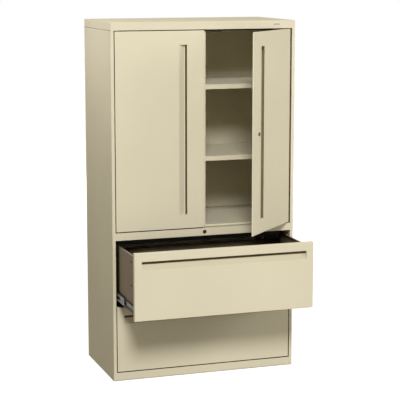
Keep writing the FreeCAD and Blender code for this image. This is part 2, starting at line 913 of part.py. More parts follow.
def make_door_lock():
    """The lock in the right door's lip. Its long cam hangs down, clear of the left door's strip."""
    across = S.reveal / 2 + S.door_lock_inset
    at = (across, front, door_low + door_height / 2)
    make_lock("door_lock", at, right_swing)
    cam = Piece("door_lock_cam", (across, cam_front, door_low + door_height / 2), right_swing)
    half = S.cam_width / 2
    cam.add("XZ", rectangle(-half, -S.door_cam_reach, half, half), 0, S.cam_wall)
    shank = S.plug_shank_radius + S.lock_clearance
    cam.hole("XZ", (0, 0), shank, -S.overrun, S.cam_wall + 2 * S.overrun)


def make_drawer_lock():
    """The lock in the middle rail, its crank, the rod it shifts and the bar that the rod presses down."""
    make_lock("drawer_lock", (0, front, lock_height))
    cam = Piece("drawer_lock_cam", (0, cam_front, lock_height))
    half = S.cam_width / 2
    cam.add("XZ", rectangle(-half, -half, half, half), 0, S.cam_wall)
    shank = S.plug_shank_radius + S.lock_clearance
    cam.hole("XZ", (0, 0), shank, -S.overrun, S.cam_wall + 2 * S.overrun)
    pin_length = S.fit + S.rod_wall
    cam.boss("XZ", (-crank_sideways, -crank_drop), S.crank_pin_radius, S.cam_wall, pin_length)

    rod_low = rail_low + S.sheet + S.fit
    pin_across = -crank_sideways
    fork_left = pin_across - S.rod_fork_width / 2
    fork_right = pin_across + S.rod_fork_width / 2
    tip = half_width - S.sheet - S.rod_tip_inset
    rod = Piece("lock_rod", (0, rod_front, rod_low))
    rod_outline = [
        (fork_left, 0),
        (tip - S.rod_height, 0),
        (tip, S.rod_height),
        (fork_right, S.rod_height),
        (fork_right, S.rod_fork_height),
        (fork_left, S.rod_fork_height),
    ]
    rod.add("XZ", rod_outline, 0, S.rod_wall)
    slot_low = S.rod_fork_height - S.rod_fork_slot_depth
    slot_half = S.rod_fork_slot / 2
    slot = rectangle(
        pin_across - slot_half, slot_low, pin_across + slot_half, S.rod_fork_height + S.overrun
    )
    rod.cut("XZ", slot, -S.overrun, S.rod_wall + 2 * S.overrun)

    bar_right = half_width - S.sheet - S.fit
    bar_left = half_width - S.stile_width + S.bar_side_gap
    ramp = rod_low - tip + S.rod_height - 2 * S.fit
    upper_lug = upper_front_low + S.lug_rise
    lower_lug = lower_front_low + S.lug_rise
    lug_left = bar_left - S.lug_reach
    bar = Piece("interlock_bar", (0, rod_front, 0))
    bar_outline = [
        (bar_left, lower_lug - S.bar_tail),
        (bar_right, lower_lug - S.bar_tail),
        (bar_right, ramp + bar_right),
        (bar_left, ramp + bar_left),
        (bar_left, upper_lug + S.lug_height),
        (lug_left, upper_lug + S.lug_height),
        (lug_left, upper_lug),
        (bar_left, upper_lug),
        (bar_left, lower_lug + S.lug_height),
        (lug_left, lower_lug + S.lug_height),
        (lug_left, lower_lug),
        (bar_left, lower_lug),
    ]
    bar.add("XZ", bar_outline, 0, S.rod_wall)


# Drawers and slides


def make_drawer(name, front_low, out):
    """A drawer's double front with its pull, and its sides, floor, back and hang rails."""
    face = front - out
    at = (front_left, face, front_low)
    high = S.drawer_height
    margin = S.drawer_pull_margin
    window_top = high - S.drawer_lip
    window_low = window_top - S.drawer_slot - S.drawer_slope
    window = rectangle(margin, window_low, front_width - margin, window_top)
    make_skin(f"{name}_drawer_front", at, front_width, high, window)
    make_liner(f"{name}_drawer_liner", at, front_width, high)

    pull_left = front_left + margin - S.sheet
    pull = Piece(f"{name}_drawer_pull", (pull_left, face, front_low + window_low))
    length = front_width - 2 * margin + 2 * S.sheet
    sizes = (S.drawer_slope, S.drawer_slot, S.drawer_pull_pocket)
    pull.add("YZ", swapped(pull_section(*sizes)), 0, length)
    for start in (0, length - S.sheet):
        pull.add("YZ", swapped(pull_end(*sizes)), start, S.sheet)
    make_drawer_body(name, face + shell_depth, front_low)


def make_drawer_body(name, body_front, front_low):
    wall = S.sheet
    side_out = half_width - S.stile_width - S.slide_thick
    side_low = front_low + S.drawer_floor_rise
    side_high = S.drawer_height - S.drawer_floor_rise - S.drawer_side_drop
    outline = channel(S.drawer_side_foot, S.drawer_side_bead, side_high, wall)
    sides = []
    for side, hand in (("left", LEFT), ("right", RIGHT)):
        at = (-hand * side_out, body_front, side_low)
        panel = Piece(f"{name}_drawer_{side}_side", at, grouped=True)
        panel.add("XZ", facing(outline, hand), 0, drawer_length)
        sides.append(panel)
    tab_top = S.lug_rise - S.lug_clear - S.drawer_floor_rise
    tab_front = rod_front + S.rod_wall + S.tab_gap - liner_back
    tab = rectangle(0, tab_top - S.tab_height, S.tab_reach, tab_top)
    sides[1].add("XZ", tab, tab_front, S.tab_thick)
    group(f"{name}_drawer_sides", sides)

    inside = 2 * (side_out - wall - S.fit)
    floor_low = side_low + wall
    floor = Piece(f"{name}_drawer_floor", (-inside / 2, body_front, floor_low))
    floor.add("XY", rectangle(0, 0, inside, drawer_length), 0, wall)

    back_outline = [
        (0, 0),
        (wall, 0),
        (wall, S.drawer_back_height),
        (wall - S.drawer_back_flange, S.drawer_back_height),
        (wall - S.drawer_back_flange, S.drawer_back_height - wall),
        (0, S.drawer_back_height - wall),
    ]
    back_face = body_front + drawer_length - wall
    rear = Piece(f"{name}_drawer_back", (-inside / 2, back_face, floor_low + wall))
    rear.add("YZ", back_outline, 0, inside)

    long = 2 * side_out
    notch = S.drawer_side_bead + S.fit
    drop = S.hang_rail_notch
    rail_outline = [
        (notch, 0),
        (long - notch, 0),
        (long - notch, drop),
        (long, drop),
        (long, S.hang_rail_height),
        (0, S.hang_rail_height),
        (0, drop),
        (notch, drop),
    ]
    rails = []
    for gap in (S.hang_rail_front_gap, drawer_length - S.hang_rail_rear_gap):
        at = (-side_out, body_front + gap, side_low + side_high - drop)
        rail = Piece(f"{name}_drawer_hang_rail_{len(rails) + 1}", at, grouped=True)
        rail.add("XZ", rail_outline, 0, S.hang_rail_wall)
        rails.append(rail)
    group(f"{name}_drawer_hang_rails", rails)


def make_uprights():
    """Channels on the inside of the case, from the base pan to the cupboard floor."""
    wide = S.stile_width - S.sheet
    outline = swapped(channel(wide, wide, S.upright_width, S.sheet))
    turned = [(wide - y, x) for x, y in outline]
    uprights = []
    for hand in (LEFT, RIGHT):
        for setback in (S.front_upright_setback, rear_upright_setback):
            at = (-hand * (half_width - S.sheet), front + setback, S.pan_height)
            upright = Piece(f"slide_upright_{len(uprights) + 1}", at, grouped=True)
            high = cupboard_floor_top - S.sheet - S.pan_height
            upright.add("XY", facing(turned, hand), 0, high)
            uprights.append(upright)
    group("slide_uprights", uprights)


middle_member_low = S.slide_wall + S.ball_row
drawer_member_low = middle_member_low + S.slide_wall + S.ball_row


def slide_place(hand, front_low, along):
    """The corner of a slide member: on the upright's face, by its drawer, that far from the front."""
    return (-hand * (half_width - S.stile_width), along, front_low + S.slide_rise)


def make_case_member(label, hand, front_low):
    """The fixed C of a slide, screwed to both uprights through its slots."""
    member = Piece(label, slide_place(hand, front_low, front + S.slide_setback), grouped=True)
    outline = channel(S.case_member_flange, S.case_member_flange, S.slide_height, S.slide_wall)
    member.add("XZ", facing(outline, hand), 0, slide_length)
    reach = S.slide_wall + 2 * S.overrun
    start = -S.overrun if hand == LEFT else S.overrun - reach
    for setback in (S.front_upright_setback, rear_upright_setback):
        along = setback + S.upright_width / 2 - S.slide_setback - S.slide_slot_length / 2
        low = (S.slide_height - S.slide_slot_height) / 2
        slot = rectangle(along, low, along + S.slide_slot_length, low + S.slide_slot_height)
        member.cut("YZ", slot, start, reach)
    return member


def make_middle_member(label, hand, front_low, out):
    """The C between the fixed and the drawer member, with two long windows in its web."""
    along = front + S.slide_setback - out * MIDDLE_SHARE
    member = Piece(label, slide_place(hand, front_low, along), grouped=True)
    high = S.slide_height - 2 * middle_member_low
    outline = channel(S.middle_member_flange, S.middle_member_flange, high, S.slide_wall)
    outline = moved(outline, S.middle_member_from, middle_member_low)
    member.add("XZ", facing(outline, hand), 0, slide_length)
    reach = S.slide_wall + 2 * S.overrun
    near = S.middle_member_from - S.overrun
    start = near if hand == LEFT else -near - reach
    low = (S.slide_height - S.middle_window_height) / 2
    for end in (S.middle_window_length, slide_length - 2 * S.middle_window_length):
        window = rectangle(end, low, end + S.middle_window_length, low + S.middle_window_height)
        member.cut("YZ", window, start, reach)
    return member


def make_drawer_member(label, hand, front_low, out):
    """The C on the drawer's side, open towards the case."""
    along = front + S.slide_setback - out
    member = Piece(label, slide_place(hand, front_low, along), grouped=True)
    high = S.slide_height - 2 * drawer_member_low
    outline = channel(S.drawer_member_flange, S.drawer_member_flange, high, S.slide_wall)
    outline = [(S.slide_thick - x, y + drawer_member_low) for x, y in outline]
    member.add("XZ", facing(outline, hand), 0, slide_length)
    return member


def make_cages(label, hand, front_low, out, inner):
    """The two ball cages of one stage, in the races above and below."""
    share = INNER_CAGE_SHARE if inner else OUTER_CAGE_SHARE
    race = middle_member_low + S.slide_wall if inner else S.slide_wall
    across = S.inner_cage_from if inner else S.outer_cage_from
    wide = S.inner_cage_width if inner else S.outer_cage_width
    middle = front + S.slide_setback + slide_length / 2 - out * share
    along = middle - S.cage_length / 2
    thick = S.ball_row - 2 * S.fit
    cages = []
    for low in (race + S.fit, S.slide_height - race - S.fit - thick):
        at = slide_place(hand, front_low, along)
        cage = Piece(f"{label}_{len(cages) + 1}", at, grouped=True)
        section = rectangle(across, low, across + wide, low + thick)
        cage.add("XZ", facing(section, hand), 0, S.cage_length)
        cages.append(cage)
    return cages


def make_slides(name, front_low, out):
    """The moving pieces of a drawer's two slides, each kind as one node."""
    sides = (("left", LEFT), ("right", RIGHT))
    middles = []
    drawers = []
    outer = []
    inner = []
    for side, hand in sides:
        label = f"{name}_{side}_slide"
        middles.append(make_middle_member(f"{label}_middle", hand, front_low, out))
        drawers.append(make_drawer_member(f"{label}_drawer", hand, front_low, out))
        outer += make_cages(f"{label}_outer_cage", hand, front_low, out, inner=False)
        inner += make_cages(f"{label}_inner_cage", hand, front_low, out, inner=True)
    group(f"{name}_slide_middle_members", middles)
    group(f"{name}_slide_drawer_members", drawers)
    group(f"{name}_slide_outer_cages", outer)
    group(f"{name}_slide_inner_cages", inner)


# The whole cabinet

make_side_panel("left_side_panel", LEFT)
make_side_panel("right_side_panel", RIGHT)
make_back_panel()
make_top_cap()
make_base()
make_levellers()
make_middle_rail()
make_counterweight()
make_cupboard_floor()
for shelf_label in SHELF_SLOTS:
    make_shelf(shelf_label)
make_standards()
make_clips()

make_door("left", LEFT, front_left)
make_astragal()
right_skin, right_liner = make_door("right", RIGHT, S.reveal / 2, right_swing)
thin_free_edge(right_skin, right_liner)
lock_bore = S.lock_radius + S.lock_clearance
lock_through = S.sheet + 2 * S.overrun
right_skin.hole("XZ", (S.door_lock_inset, door_height / 2), lock_bore, -S.overrun, lock_through)
liner_centre = (S.door_lock_inset - S.liner_inset, door_height / 2 - S.liner_inset)
right_liner.hole("XZ", liner_centre, lock_bore, -S.overrun, lock_through)
make_hinge_brackets()
make_catches()
make_door_lock()
make_drawer_lock()

drawers = (("upper", upper_front_low, S.upper_drawer_out), ("lower", lower_front_low, measure(0)))
make_uprights()
case_members = []
for drawer_name, drawer_low, drawer_out in drawers:
    make_drawer(drawer_name, drawer_low, drawer_out)
    make_slides(drawer_name, drawer_low, drawer_out)
    for hand_name, hand in (("left", LEFT), ("right", RIGHT)):
        case_members.append(make_case_member(f"{drawer_name}_{hand_name}_slide_case", hand, drawer_low))
group("slide_case_members", case_members)

doc.recompute()

# Every object has to be sound, every cut has to cut, and every node has to be a valid solid.
for thing in doc.Objects:
    if "Invalid" in thing.State or "Error" in thing.State:
        raise RuntimeError(f"{thing.Label} failed: {thing.State}")
    if thing.TypeId == "PartDesign::Pocket" and thing.Shape.Volume >= thing.BaseFeature.Shape.Volume:
        raise RuntimeError(f"{thing.Label} cuts nothing")
os.makedirs("parts", exist_ok=True)
for node in nodes:
    if node.Shape.isNull() or not node.Shape.isValid():
        raise RuntimeError(f"{node.Label} has no valid shape")
for node in nodes:
    node.Shape.exportStep(f"parts/{node.Label}.step")
print(f"{len(nodes)} nodes written")
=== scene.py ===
# %% [markdown]
# A steel office cabinet: a cupboard with two doors above two wide filing drawers, all in putty-coloured
# powder coat. The imported model already has every sheet, slide and lock at its true place and size, so
# this lesson only dresses it: camera and light first, then one finish after another, then the small
# fasteners.

# %% Load the imported cabinet
import json
import math

import bmesh
import bpy
from mathutils import Matrix, Vector


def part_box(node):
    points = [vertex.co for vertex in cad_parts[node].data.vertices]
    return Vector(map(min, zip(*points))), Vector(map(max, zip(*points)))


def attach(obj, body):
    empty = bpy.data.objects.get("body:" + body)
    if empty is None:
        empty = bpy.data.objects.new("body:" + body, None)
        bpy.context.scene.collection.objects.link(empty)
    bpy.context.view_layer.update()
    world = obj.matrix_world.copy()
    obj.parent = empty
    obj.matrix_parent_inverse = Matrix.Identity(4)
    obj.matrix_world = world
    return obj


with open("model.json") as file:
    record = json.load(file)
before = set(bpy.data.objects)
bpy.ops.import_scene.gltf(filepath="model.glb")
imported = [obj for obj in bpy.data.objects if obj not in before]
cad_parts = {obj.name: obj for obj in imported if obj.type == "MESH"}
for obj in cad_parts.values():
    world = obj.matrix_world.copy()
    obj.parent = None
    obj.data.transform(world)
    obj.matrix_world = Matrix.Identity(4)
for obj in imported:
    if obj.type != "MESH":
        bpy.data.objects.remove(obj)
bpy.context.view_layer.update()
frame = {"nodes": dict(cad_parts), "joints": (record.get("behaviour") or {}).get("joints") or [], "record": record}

nodes = frame["nodes"]
scene = bpy.context.scene
scene.view_settings.view_transform = "Standard"

# %% [markdown]
# The photograph was taken from the left, a little above the top of the cabinet, with a long lens: the
# front edges run almost parallel. A camera can be aimed with a tracking constraint, but two plain angles
# are easier to check: turn to the right from straight ahead, then tilt down.

# %% Camera
VIEW_TURN = math.radians(18.769)
VIEW_TILT = math.radians(9.452)
EYE = (-2.1353, -6.4582, 1.9475)
LENS_MM = 125.43

camera_data = bpy.data.cameras.new("photo_camera")
camera_data.lens = LENS_MM
camera_data.sensor_width = 36
camera = bpy.data.objects.new("photo_camera", camera_data)
camera.location = EYE
camera.rotation_euler = (math.pi / 2 - VIEW_TILT, 0, -VIEW_TURN)
scene.collection.objects.link(camera)
scene.camera = camera
print("camera at", EYE)

# %% [markdown]
# The studio is plain. A large soft lamp stands high at the left of the camera: the open drawer's shadow
# on the drawer below it shows where. A weak low lamp in front keeps that shadow from going black, and one
# far to the right does the same for the open door. A small lamp near the top left lights the upper part
# of the side, one hangs overhead, and a low one stands behind for views of the back. A lamp's power falls
# with the square of its distance, so it is worked out from the brightness wanted at its aim.

# %% Lamps


def soft_lamp(name, place, aim, size, level):
    """A round area lamp: level 1 renders a surface at the aim that faces the lamp in its own colour."""
    towards = Vector(place) - Vector(aim)
    data = bpy.data.lights.new(name, "AREA")
    data.shape = "DISK"
    data.size = size
    data.energy = level * math.pi ** 2 * towards.length_squared
    lamp = bpy.data.objects.new(name, data)
    lamp.location = place
    lamp.rotation_euler = towards.to_track_quat("Z", "Y").to_euler()
    scene.collection.objects.link(lamp)
    print("lamp", name, "watts", round(data.energy))


soft_lamp("key_lamp", (-2.10, -7.46, 6.04), (-0.3, -0.4, 0.36), size=2.3, level=0.72)
soft_lamp("front_lamp", (0.8, -6.5, 0.9), (0.0, -0.25, 0.6), size=3.0, level=0.15)
soft_lamp("right_lamp", (5.2, -2.5, 3.0), (0.27, -0.39, 1.1), size=2.5, level=0.33)
soft_lamp("left_lamp", (-1.25, 0.0, 1.95), (-0.457, 0.0, 1.5), size=0.6, level=0.62)
soft_lamp("top_lamp", (0.1, 0.35, 4.4), (0.0, 0.0, 1.7), size=1.2, level=0.12)
soft_lamp("back_lamp", (2.4, 6.2, 0.85), (0.0, 0.25, 0.9), size=1.4, level=0.45)

# %% [markdown]
# The background is paper white. The world sends a modest warm light to the object, and only rays that
# come straight from the camera, a mirror or a glass see it as white. The floor is done the same way: real
# paint that catches the shadow, plus a glow for those rays. The glow is weaker near the cabinet, where
# the shadow has to show, and full further out, so that no horizon line does.

# %% World and floor
FILL_LEVEL = 0.228
FILL_COLOUR = (1.0, 0.86, 0.605, 1)
FLOOR_GLOW = 0.87
FLOOR_NEAR = 0.8
FLOOR_FAR = 3.2
FLOOR_COLOUR = (0.30, 0.28, 0.235, 1)


def node_tree(owner):
    """The emptied node tree of a world or a material."""
    owner.use_nodes = True
    owner.node_tree.nodes.clear()
    return owner.node_tree


def add_node(tree, kind, **settings):
    """A node with its properties set by name, and its inputs set by socket name."""
    node = tree.nodes.new("ShaderNode" + kind)
    for key, value in settings.pop("inputs", {}).items():
        node.inputs[key].default_value = value
    for key, value in settings.items():
        setattr(node, key, value)
    return node


def seen_directly(tree):
    """1 for rays from the camera, a mirror or a glass, and 0 for light on its way to a surface."""
    path = add_node(tree, "LightPath")
    first = add_node(tree, "Math", operation="MAXIMUM")
    both = add_node(tree, "Math", operation="MAXIMUM")
    tree.links.new(path.outputs["Is Camera Ray"], first.inputs[0])
    tree.links.new(path.outputs["Is Glossy Ray"], first.inputs[1])
    tree.links.new(first.outputs[0], both.inputs[0])
    tree.links.new(path.outputs["Is Transmission Ray"], both.inputs[1])
    return both.outputs[0]


world = bpy.data.worlds.new("white_studio")
scene.world = world
tree = node_tree(world)
fill = add_node(tree, "Background", inputs={"Color": FILL_COLOUR, "Strength": FILL_LEVEL})
white = add_node(tree, "Background", inputs={"Color": (1, 1, 1, 1), "Strength": 1.0})
pick = add_node(tree, "MixShader")
tree.links.new(seen_directly(tree), pick.inputs["Fac"])
tree.links.new(fill.outputs[0], pick.inputs[1])
tree.links.new(white.outputs[0], pick.inputs[2])
tree.links.new(pick.outputs[0], add_node(tree, "OutputWorld").inputs["Surface"])

floor_paint = bpy.data.materials.new("pale_floor")
tree = node_tree(floor_paint)
matte = add_node(tree, "BsdfDiffuse", inputs={"Color": FLOOR_COLOUR})
glow = add_node(tree, "Emission", inputs={"Color": (1, 1, 1, 1)})
distance = add_node(tree, "VectorMath", operation="LENGTH")
reach = {"From Min": FLOOR_NEAR, "From Max": FLOOR_FAR, "To Min": FLOOR_GLOW, "To Max": 1}
whiter = add_node(tree, "MapRange", inputs=reach)
tree.links.new(add_node(tree, "TexCoord").outputs["Object"], distance.inputs[0])
tree.links.new(distance.outputs["Value"], whiter.inputs["Value"])
tree.links.new(whiter.outputs[0], glow.inputs["Strength"])
lit = add_node(tree, "AddShader")
pick = add_node(tree, "MixShader")
tree.links.new(matte.outputs[0], lit.inputs[0])
tree.links.new(glow.outputs[0], lit.inputs[1])
tree.links.new(seen_directly(tree), pick.inputs["Fac"])
tree.links.new(matte.outputs[0], pick.inputs[1])
tree.links.new(lit.outputs[0], pick.inputs[2])
tree.links.new(pick.outputs[0], add_node(tree, "OutputMaterial").inputs["Surface"])

FLOOR_HALF = 20.0
floor_mesh = bpy.data.meshes.new("studio_floor")
corners = [(-FLOOR_HALF, -FLOOR_HALF, 0), (FLOOR_HALF, -FLOOR_HALF, 0)]
corners += [(FLOOR_HALF, FLOOR_HALF, 0), (-FLOOR_HALF, FLOOR_HALF, 0)]
floor_mesh.from_pydata(corners, [], [(0, 1, 2, 3)])
floor_mesh.materials.append(floor_paint)
studio_floor = bpy.data.objects.new("studio_floor", floor_mesh)
scene.collection.objects.link(studio_floor)
print("white world and floor ready")

# %% [markdown]
# Powder coat is a plastic melted onto the steel. Close up it isn't smooth: it has the fine dimples called
# orange peel, and its tone drifts a little over a large sheet. Along the fold lines the colour is lighter, a
# painted highlight. Deep in the gaps round a door and in tight corners it turns dark brown, painted shade
# that an ambient occlusion node places. Each effect is its own noise or mask, mixed into colour, roughness
# and bump. The coordinates are the object's own metres, so the grain has the same size on a door and on a clip.

# %% A helper for finishes, and the powder coat


def new_finish(name, colour, **sockets):
    """A material with a principled shader, its constant inputs set on the shader's own sockets."""
    finish = bpy.data.materials.new(name)
    tree = node_tree(finish)
    shader = add_node(tree, "BsdfPrincipled", inputs={"Base Color": (*colour, 1), **sockets})
    tree.links.new(shader.outputs[0], add_node(tree, "OutputMaterial").inputs["Surface"])
    return finish, tree, shader


def noise(tree, scale, detail=2.0, stretch=None):
    """Noise in the object's metres, at so many grains to the metre, stretched along an axis if asked."""
    place = add_node(tree, "TexCoord").outputs["Object"]
    if stretch:
        mapping = add_node(tree, "Mapping", inputs={"Scale": stretch})
        tree.links.new(place, mapping.inputs["Vector"])
        place = mapping.outputs[0]
    texture = add_node(tree, "TexNoise", inputs={"Scale": scale, "Detail": detail})
    tree.links.new(place, texture.inputs["Vector"])
    return texture.outputs["Fac"]


def remap(tree, value, low, high, start=0.3, end=0.7):
    """Stretches a noise's middle range onto low to high."""
    node = add_node(tree, "MapRange")
    for socket, number in zip(("From Min", "From Max", "To Min", "To Max"), (start, end, low, high)):
        node.inputs[socket].default_value = number
    tree.links.new(value, node.inputs["Value"])
    return node.outputs[0]


def tint(tree, share, dark, light):
    """A colour between two, by share."""
    node = add_node(tree, "Mix", data_type="RGBA")
    node.inputs["A"].default_value = (*dark, 1)
    node.inputs["B"].default_value = (*light, 1)
    tree.links.new(share, node.inputs["Factor"])
    return node.outputs["Result"]


def bump(tree, shader, height, strength, depth):
    """Tilts the shader's normal by a height pattern that is so many metres deep."""
    node = add_node(tree, "Bump", inputs={"Strength": strength, "Distance": depth})
    tree.links.new(height, node.inputs["Height"])
    tree.links.new(node.outputs[0], shader.inputs["Normal"])


def folded_edges(tree, radius):
    """1 on the fold lines: where a rounded normal leaves the true one."""
    rounded = add_node(tree, "Bevel", samples=4, inputs={"Radius": radius})
    true = add_node(tree, "NewGeometry")
    turn = add_node(tree, "VectorMath", operation="DOT_PRODUCT")
    tree.links.new(rounded.outputs[0], turn.inputs[0])
    tree.links.new(true.outputs["Normal"], turn.inputs[1])
    return remap(tree, turn.outputs["Value"], low=1.0, high=0.0, start=0.80, end=0.995)


def open_to_air(tree, reach, shut, clear):
    """1 on open surfaces, falling to 0 where walls within reach shut out so much of the sky."""
    shelter = add_node(tree, "AmbientOcclusion", samples=12, inputs={"Distance": reach})
    return remap(tree, shelter.outputs["AO"], low=0, high=1, start=shut, end=clear)


# Painted shade: the dark brown that the coat turns to in gaps and tight corners.
SEAM_SHADE = (0.026, 0.018, 0.007)
COAT_SHEEN = {"Specular IOR Level": 0.02}
TONE_DRIFT = (0.965, 1.025)
FOLD_WIDTH = 0.0012


def powder_coat(name, colour, edge_highlight, roughness=0.58, shelter=(0.009, 0.42, 0.80)):
    """Satin coat: drifting tone, painted highlight on fold lines, painted shade deep in gaps, orange peel."""
    finish, tree, shader = new_finish(name, colour, **COAT_SHEEN)
    dark, light = [[part * share for part in colour] for share in TONE_DRIFT]
    drift = tint(tree, remap(tree, noise(tree, scale=2.2, detail=3.0), 0, 1), dark, light)
    # Painted highlight: the fold lines take the lighter colour given for the edges.
    edge_lit = add_node(tree, "Mix", data_type="RGBA")
    edge_lit.inputs["B"].default_value = (*edge_highlight, 1)
    tree.links.new(folded_edges(tree, FOLD_WIDTH), edge_lit.inputs["Factor"])
    tree.links.new(drift, edge_lit.inputs["A"])
    # Painted shade: where the occlusion mask finds walls close by, the colour turns to the seam shade.
    seams = add_node(tree, "Mix", data_type="RGBA")
    seams.inputs["A"].default_value = (*SEAM_SHADE, 1)
    tree.links.new(open_to_air(tree, *shelter), seams.inputs["Factor"])
    tree.links.new(edge_lit.outputs["Result"], seams.inputs["B"])
    tree.links.new(seams.outputs["Result"], shader.inputs["Base Color"])
    uneven = remap(tree, noise(tree, scale=40.0, detail=4.0), roughness - 0.05, roughness + 0.07)
    tree.links.new(uneven, shader.inputs["Roughness"])
    bump(tree, shader, noise(tree, scale=650.0), strength=0.10, depth=0.0004)
    return finish


# Reach, shut and clear of the painted shade in gaps: fine for the pulls, wide for the drawer boxes, where it
# darkens their sides towards the case.
FINE_SEAMS = (0.006, 0.10, 0.45)
WIDE_SHADE = (0.16, 0.64, 0.97)
PULL_ROUGH = 0.55
BOX_ROUGH = 0.62
PUTTY = (0.695, 0.642, 0.490)
# Painted highlights: the lighter second colours of putty, pull and box are laid on the fold lines.
PUTTY_EDGE_HIGHLIGHT = (0.80, 0.742, 0.585)
DOOR_PULL_PUTTY = (0.69, 0.632, 0.478)
# Painted shade: the drawer pulls are the doors' pull paint made darker, since their slopes face up and would catch
# more light.
SHADED_DRAWER_PULL_PUTTY = (0.575, 0.525, 0.388)
PULL_EDGE_HIGHLIGHT = (0.78, 0.715, 0.54)
# Painted shade: the drawer boxes are putty like the case, and this darker taupe stands for the shadow their sides
# sit in.
SHADED_BOX_PUTTY = (0.285, 0.238, 0.180)
SHADED_BOX_EDGE_HIGHLIGHT = (0.42, 0.36, 0.27)
putty_coat = powder_coat("putty_powder_coat", PUTTY, PUTTY_EDGE_HIGHLIGHT)
door_pull_coat = powder_coat("door_pull_coat", DOOR_PULL_PUTTY, PULL_EDGE_HIGHLIGHT, PULL_ROUGH, FINE_SEAMS)
drawer_pull_painted_shade = powder_coat("drawer_pull_painted_shade", SHADED_DRAWER_PULL_PUTTY, PULL_EDGE_HIGHLIGHT, PULL_ROUGH, FINE_SEAMS)
shaded_drawer_box_coat = powder_coat("drawer_box_painted_shade", SHADED_BOX_PUTTY, SHADED_BOX_EDGE_HIGHLIGHT, BOX_ROUGH, WIDE_SHADE)
print("powder coats:", putty_coat.name, door_pull_coat.name, drawer_pull_painted_shade.name, shaded_drawer_box_coat.name)

# %% [markdown]
# The slides, clips and hinge plates are cold-rolled steel with a clear zinc plate, here set far darker
# than bright zinc: painted shade for the dark gaps the slides sit in. Rolling leaves fine lines along the
# strip, and the plate has soft cloudy patches, some slightly blue, some slightly warm. A stretched noise
# gives the lines and a wide one the clouds.

# %% Zinc plate


def zinc_plate(name, cool, warm, rough):
    """Bare plated metal: clouds between two tones, and rolling lines along the strip."""
    finish, tree, shader = new_finish(name, cool, Metallic=1.0)
    clouds = remap(tree, noise(tree, scale=14.0, detail=4.0), 0, 1)
    tree.links.new(tint(tree, clouds, cool, warm), shader.inputs["Base Color"])
    rolled = noise(tree, scale=500.0, stretch=(1.0, 0.05, 1.0))
    tree.links.new(remap(tree, rolled, rough - 0.08, rough + 0.1), shader.inputs["Roughness"])
    bump(tree, shader, rolled, strength=0.12, depth=0.0002)
    return finish


# Painted shade: the zinc of slides, clips and hinge plates is set far darker than real plate.
shaded_zinc = zinc_plate("shaded_zinc", (0.10, 0.10, 0.098), (0.15, 0.147, 0.136), rough=0.45)
plate_metal = zinc_plate("plate_metal", (0.30, 0.298, 0.285), (0.38, 0.375, 0.355), rough=0.36)
print("zinc:", shaded_zinc.name, plate_metal.name)

# %% [markdown]
# The two locks are turned parts, with the fine rings that the lathe leaves. The rims are nearly black; the
# plugs are nickel, set to a dark bronze tone a shade lighter than the rims, a painted reflection of the dark
# they face. A wave texture would give true rings, but at this size a very fine grain reads the same.

# %% Lock finishes


def turned_metal(name, colour, light, rough):
    """Plated turned metal: two close tones in small patches, and a very fine grain."""
    finish, tree, shader = new_finish(name, colour, Metallic=1.0)
    grain = noise(tree, scale=900.0, detail=3.0)
    patches = remap(tree, noise(tree, scale=120.0), 0, 1)
    tree.links.new(tint(tree, patches, colour, light), shader.inputs["Base Color"])
    tree.links.new(remap(tree, grain, rough - 0.06, rough + 0.08), shader.inputs["Roughness"])
    bump(tree, shader, grain, strength=0.15, depth=0.0002)
    return finish


dark_rim = turned_metal("dark_lock_rim", (0.036, 0.029, 0.016), (0.058, 0.047, 0.027), rough=0.38)
# Painted reflection: the nickel plug is set to a dark bronze tone.
plug_painted_reflection = turned_metal("nickel_plug_painted_reflection", (0.066, 0.053, 0.028), (0.098, 0.079, 0.044), rough=0.32)
print("lock finishes:", dark_rim.name, plug_painted_reflection.name)

# %% [markdown]
# The rest are small pieces: nylon ball cages, black moulded catches with a fine eroded grain, black oxide
# for the drawer screws, the same black as painted shade on the lock's rod and the hang rails, rubber, dark
# strips of painted shade for the finger slots and the gap above the doors, and the rough cast block that
# keeps the case from tipping. All are two close tones and a grain, so one helper makes them. A lower
# specular level takes the white studio's sheen off the dark ones.

# %% Nylon, rubber, painted shade strips and cast iron


def moulded(name, colour, light, rough, grain, depth, **sockets):
    """Two close tones in soft patches, and a grain of so many to the metre that is so many metres deep."""
    finish, tree, shader = new_finish(name, colour, **sockets)
    patches = remap(tree, noise(tree, scale=30.0, detail=3.0), 0, 1)
    tree.links.new(tint(tree, patches, colour, light), shader.inputs["Base Color"])
    texture = noise(tree, scale=grain, detail=3.0)
    tree.links.new(remap(tree, texture, rough - 0.06, rough + 0.08), shader.inputs["Roughness"])
    bump(tree, shader, texture, strength=0.25, depth=depth)
    return finish


SATIN = {"Specular IOR Level": 0.15}
MATTE = {"Specular IOR Level": 0.02}
nylon = moulded(
    "natural_nylon", (0.58, 0.56, 0.50), (0.66, 0.64, 0.58),
    rough=0.48, grain=700.0, depth=0.0001,
)
black_moulding = moulded(
    "black_moulding", (0.018, 0.018, 0.019), (0.03, 0.03, 0.03),
    rough=0.5, grain=900.0, depth=0.0002,
)
# Black oxide for the drawer screws; on the lock's rod, the hang rails and the other blacked parts it is painted
# shade.
black_oxide_and_shade = moulded(
    "black_oxide_and_shade", (0.010, 0.010, 0.0105), (0.018, 0.0175, 0.017),
    rough=0.6, grain=600.0, depth=0.0001, **SATIN,
)
# Black rubber for the door bumpers; on the strip above the doors it is painted shade.
black_rubber_and_shade = moulded(
    "black_rubber_and_shade", (0.015, 0.015, 0.015), (0.026, 0.025, 0.024),
    rough=0.72, grain=1200.0, depth=0.0001, **SATIN,
)
